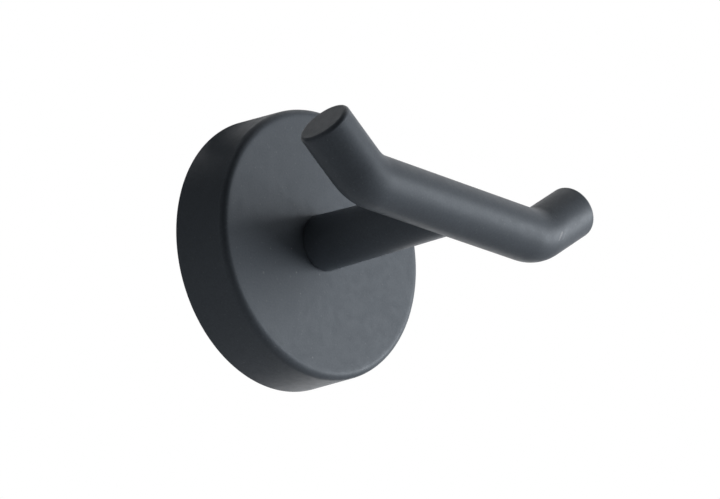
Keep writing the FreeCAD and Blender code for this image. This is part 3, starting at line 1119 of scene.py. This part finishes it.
@dataclass
class TieScrew(SocketScrew):
    """Low cap head screw that draws rosette, stem and crossbar together."""

    radius: float = 2.5
    root: float = 2.07
    pitch: float = 0.8
    socket_width: float = 3.0
    socket_depth: float = 2.3
    socket_lead: float = 0.12
    broken: float = 0.45
    head_radius: float = 4.25
    head_back: float = 2.9
    head_seat: float = 6.4
    head_round: float = 0.15
    fillet: float = 0.2
    tip: float = 46.5
    plain_end: float = 22.0
    run_out: float = 0.2
    steps: int = 72

    node, slot = "tie_screw", "plated_steel"

    def model(self) -> Piece:
        """Models the tie screw.

        Returns:
            The tie screw.
        """
        corners = [
            (0, self.head_back, 0),
            (self.head_radius, self.head_back, self.broken),
            (self.head_radius, self.head_seat, self.head_round),
            (self.radius, self.head_seat, self.fillet),
            *self.shank(self.plain_end, self.tip - self.broken),
            (self.radius - self.broken, self.tip, 0),
            (0, self.tip, 0),
        ]
        screw = turned("tie_screw_plated", corners, steps=self.steps)
        self.thread(screw, self.plain_end, self.tip + self.run_out)
        self.socket(screw, self.head_back)
        return screw


@dataclass
class TieWasher(Part):
    """Punched washer, its edge rolled over on the side that the punch met."""

    inner: float = 2.65
    inner_roll: float = 0.18
    outer: float = 5.0
    outer_roll: float = 0.25
    low: float = 6.4
    high: float = 7.4
    broken: float = 0.05

    node, slot = "tie_washer", "plated_steel"

    def model(self) -> Piece:
        """Models the washer.

        Returns:
            The washer.
        """
        corners = (
            (self.inner, self.low, self.inner_roll),
            (self.outer, self.low, self.outer_roll),
            (self.outer, self.high, self.broken),
            (self.inner, self.high, self.broken),
        )
        return turned("tie_washer_plated", corners, steps=SMALL_STEPS)


@dataclass
class WallBracket(Part):
    """Round bracket with a bevelled rim, screwed to the wall through two countersunk holes.

    Attributes:
        clear: how far the countersink's cutter stands clear of the hole's edges.
    """

    centre_hole: float = 4.75
    neck: float = 18.2
    rim: float = 20.6
    ring: float = 16.2
    floor: float = 2.4
    floor_radius: float = 0.4
    bevel_foot: float = 2.8
    bevel_top: float = 5.2
    top: float = 6.2
    rounding: float = 0.3
    broken: float = 0.18
    screw_at: float = 12.0
    screw_hole: float = 2.0
    screw_head: float = 3.6
    clear: float = 0.1
    flare: float = 0.9

    node, slot = "wall_bracket", "raw_casting"

    def countersink(self, across: float) -> Piece:
        """Turns the body of one wall screw's hole.

        Args:
            across: where the hole lies along Z, in mm.

        Returns:
            The tool body.
        """
        depth = self.screw_head - self.screw_hole
        profile = [
            (0, -PAST, 0),
            (self.screw_hole + self.flare, -PAST, 0),
            (self.screw_hole, self.clear, 0),
            (self.screw_hole, self.floor - depth, 0),
            (self.screw_head + self.clear, self.floor + self.clear, 0),
            (self.screw_head + self.clear, self.floor + 2 * PAST, 0),
            (0, self.floor + 2 * PAST, 0),
        ]
        hole = turned("countersink", profile, steps=SMALL_STEPS)
        return moved(hole, Matrix.Translation((0, 0, across * MM)))

    def model(self) -> Piece:
        """Models the bracket.

        Returns:
            The bracket.
        """
        corners = (
            (self.centre_hole, 0, self.broken),
            (self.neck, 0, self.broken),
            (self.neck, self.bevel_foot, self.rounding),
            (self.rim, self.bevel_top, self.broken),
            (self.rim, self.top, self.broken),
            (self.ring, self.top, self.rounding),
            (self.ring, self.floor, self.floor_radius),
            (self.centre_hole, self.floor, self.rounding),
        )
        bracket = turned("wall_bracket_cast", corners)
        for across in (self.screw_at, -self.screw_at):
            worked(bracket, self.countersink(across))
        return bracket


@dataclass
class GrubScrew(SocketScrew):
    """Socket set screw whose cone bears on the bevel of the bracket."""

    radius: float = 2.0
    root: float = 1.66
    pitch: float = 0.7
    socket_width: float = 2.0
    socket_depth: float = 2.0
    socket_lead: float = 0.1
    broken: float = 0.3
    tip_at: float = 19.0
    tip_radius: float = 0.12
    length: float = 7.0
    height: float = 3.6
    direction: float = 300.0

    node, slot = "grub_screw", "blackened_steel"

    def model(self) -> Piece:
        """Models the set screw on the lathe's axis and puts it in its hole.

        Returns:
            The set screw.
        """
        start, end = self.broken, self.length - self.radius
        corners = [
            (0, 0, 0),
            (self.radius - self.broken, 0, 0),
            *self.shank(start, end),
            (self.tip_radius, self.length - self.tip_radius, 0),
            (0, self.length, 0),
        ]
        screw = turned("grub_screw_black", corners, steps=DRILL_STEPS)
        self.thread(screw, start - SLIVER, end + SLIVER)
        self.socket(screw, 0)
        out = level_way(self.direction)
        outer_end = (out * (self.tip_at + self.length) + Vector((0, -self.height, 0))) * MM
        # The blank points out of the wall, and its tip now points to the rosette's axis
        turn = Vector((0, -1, 0)).rotation_difference(-out).to_matrix().to_4x4()
        return moved(screw, Matrix.Translation(outer_end) @ turn)


# ---- studio

WHITE = (1.0, 1.0, 1.0, 1.0)
DULL = {"Roughness": 0.9, "Specular_IOR_Level": 0.1}


@dataclass(frozen=True)
class SoftLamp:
    """Softbox that is aimed at the hook, with the brightness of its cloth where white is 1."""

    name: str
    place: Corner
    width: float
    height: float
    brightness: float

    def light(self, target: Vector) -> None:
        """Puts up the lamp.

        Args:
            target: point that it is aimed at, in metres.
        """
        data = bpy.data.lights.new(self.name, "AREA")
        data.shape = "RECTANGLE"
        data.size = self.width
        data.size_y = self.height
        data.energy = self.brightness * pi * self.width * self.height
        lamp = bpy.data.objects.new(self.name, data)
        bpy.context.scene.collection.objects.link(lamp)
        lamp.location = self.place
        lamp.rotation_euler = (target - Vector(self.place)).to_track_quat("-Z", "Y").to_euler()
        lamp.visible_camera = False


@dataclass(frozen=True)
class BlackCloth:
    """Black cloth of the studio, which the camera doesn't see."""

    colour: Corner = (0.01, 0.01, 0.01)
    weave: Pattern = Pattern(4.0)
    tones: Span = (0.8, 1.2)

    def cover(self, piece: Piece) -> None:
        """Makes a piece of the studio black and keeps it out of the camera's sight.

        Args:
            piece: piece that is hung up in the studio.
        """
        recipe = Recipe(f"black_{piece.name}")
        tone = recipe.vary(recipe.noise(self.weave), self.tones)
        recipe.give(Base_Color=recipe.shade(self.colour, tone), **DULL)
        piece.data.materials.append(recipe.material)
        piece.visible_camera = False


@dataclass(frozen=True)
class Curtain(BlackCloth):
    """Black curtain round the left and the front of the studio, which darkens the sheen there.

    Attributes:
        radius: radius of the half globe in which it hangs, in metres.
        bright_way: direction, level, in which the studio is open.
        edge: how far the open side begins from the middle, as a share of the radius.
    """

    radius: float = 2.9
    segments: int = 48
    rings: int = 24
    bright_way: Corner = (0.985, 0.17, 0.0)
    edge: float = 0.15
    hem: float = 0.01

    def hang(self, floor_level: float) -> None:
        """Hangs the curtain down to the floor, out of the camera's sight.

        Args:
            floor_level: height of the floor, in metres.
        """
        clear_selection()
        bpy.ops.mesh.primitive_uv_sphere_add(
            segments=self.segments, ring_count=self.rings, radius=self.radius
        )
        curtain = bpy.context.object
        curtain.name = "curtain"
        away = Vector(self.bright_way).normalized()
        bpy.ops.object.mode_set(mode="EDIT")
        open_side = (away * self.edge * self.radius, away)
        under_floor = (Vector((0, 0, floor_level + self.hem)), Vector((0, 0, -1)))
        for place, way in (open_side, under_floor):
            bpy.ops.mesh.select_all(action="SELECT")
            bpy.ops.mesh.bisect(plane_co=place, plane_no=way, clear_outer=True)
        bpy.ops.object.mode_set(mode="OBJECT")
        self.cover(curtain)


@dataclass(frozen=True)
class Flag(BlackCloth):
    """Small black cloth that keeps the light from behind off the rosette's upper left side."""

    place: Corner = (-0.009, 0.006, 0.0288)
    width: float = 0.027
    height: float = 0.009
    tilt: float = 12.0

    def hang(self) -> None:
        """Hangs the flag upright, level with the wall."""
        clear_selection()
        turn = (pi / 2, -radians(self.tilt), 0)
        bpy.ops.mesh.primitive_plane_add(size=1.0, location=self.place, rotation=turn)
        flag = bpy.context.object
        flag.name = "flag"
        flag.scale = (self.width, self.height, 1.0)
        self.cover(flag)


@dataclass
class Studio:
    """Pale floor, white surroundings, soft lamps, black cloths and the camera."""

    floor_level: float = -0.30
    floor_size: float = 6.0
    floor_colour: Colour = (0.84, 0.84, 0.84, 1.0)
    floor_cloud: Pattern = Pattern(60.0)
    floor_tones: Span = (0.98, 1.0)
    floor_glow: float = 0.18
    ambient: float = 0.07
    target: Corner = (0.0, -0.025, 0.0)
    lamps: tuple[SoftLamp, ...] = (
        SoftLamp("key", (0.735, -0.530, 0.012), 0.38, 0.50, 9.2),
        SoftLamp("top", (0.160, -0.025, 0.784), 0.50, 0.50, 0.22),
        SoftLamp("top_right", (0.480, -0.025, 0.640), 0.50, 0.50, 0.28),
        SoftLamp("top_left", (-0.398, 0.134, 0.677), 0.50, 0.50, 0.50),
        SoftLamp("left", (-0.750, 0.300, 0.050), 0.60, 0.80, 0.31),
        SoftLamp("back_right", (0.571, 0.505, -0.204), 0.30, 0.30, 1.5),
    )
    curtain: Curtain = Curtain()
    flag: Flag = Flag()
    camera_place: Corner = (-0.4889993, -0.5152625, -0.2218977)
    camera_yaw: float = 0.7813284
    camera_pitch: float = 0.3050988
    camera_roll: float = 0.0317508
    camera_lens: float = 195.3876
    camera_sensor: float = 36.0

    def build(self) -> None:
        """Sets up the whole studio."""
        self.lay_floor()
        self.light_world()
        for lamp in self.lamps:
            lamp.light(Vector(self.target))
        self.curtain.hang(self.floor_level)
        self.flag.hang()
        self.set_camera()
        bpy.context.scene.view_settings.view_transform = "Standard"

    def lay_floor(self) -> None:
        """Lays the floor, which keeps its shadows and looks pale to the camera."""
        clear_selection()
        bpy.ops.mesh.primitive_plane_add(size=self.floor_size, location=(0, 0, self.floor_level))
        floor = bpy.context.object
        floor.name = "floor"
        recipe = Recipe("pale_floor")
        tone = recipe.vary(recipe.noise(self.floor_cloud), self.floor_tones)
        recipe.give(
            Base_Color=recipe.shade(self.floor_colour, tone),
            Emission_Color=WHITE,
            Emission_Strength=recipe.in_sight(0.0, self.floor_glow),
            **DULL,
        )
        floor.data.materials.append(recipe.material)

    def light_world(self) -> None:
        """Makes the surroundings white to the camera and in reflections, and dim as a light."""
        world = bpy.data.worlds.new("surroundings")
        bpy.context.scene.world = world
        nodes = Nodes(world, "ShaderNodeBackground", "ShaderNodeOutputWorld")
        nodes.give(Color=WHITE, Strength=nodes.in_sight(self.ambient, 1.0))

    def set_camera(self) -> None:
        """Sets the camera where the photograph was taken from."""
        yaw, pitch, roll = self.camera_yaw, self.camera_pitch, self.camera_roll
        forward = Vector((cos(pitch) * sin(yaw), cos(pitch) * cos(yaw), sin(pitch)))
        level = forward.cross(Vector((0, 0, 1))).normalized()
        upright = level.cross(forward)
        right = cos(roll) * level + sin(roll) * upright
        up = -sin(roll) * level + cos(roll) * upright
        data = bpy.data.cameras.new("camera")
        data.lens = self.camera_lens
        data.sensor_width = self.camera_sensor
        data.sensor_fit = "HORIZONTAL"
        camera = bpy.data.objects.new("camera", data)
        bpy.context.scene.collection.objects.link(camera)
        turn = Matrix((right, up, -forward)).transposed()
        camera.matrix_world = Matrix.Translation(self.camera_place) @ turn.to_4x4()
        bpy.context.scene.camera = camera


def main() -> None:
    """Builds the hook piece by piece, then the studio round it."""
    logging.basicConfig(level=logging.INFO, format="%(message)s")
    Rosette().build(PowderCoat("matte_black_coat_rosette", marks=FACE_SPECKS))
    Stem().build(PowderCoat("matte_black_coat_stem"))
    Crossbar().build(PowderCoat("matte_black_coat_crossbar", marks=BEND_MARKS))
    plating = ZincPlate()
    TieScrew().build(plating)
    TieWasher().build(plating)
    WallBracket().build(RawCasting())
    GrubScrew().build(BlackOxide())
    Studio().build()
    clear_selection()


if __name__ == "__main__":
    main()
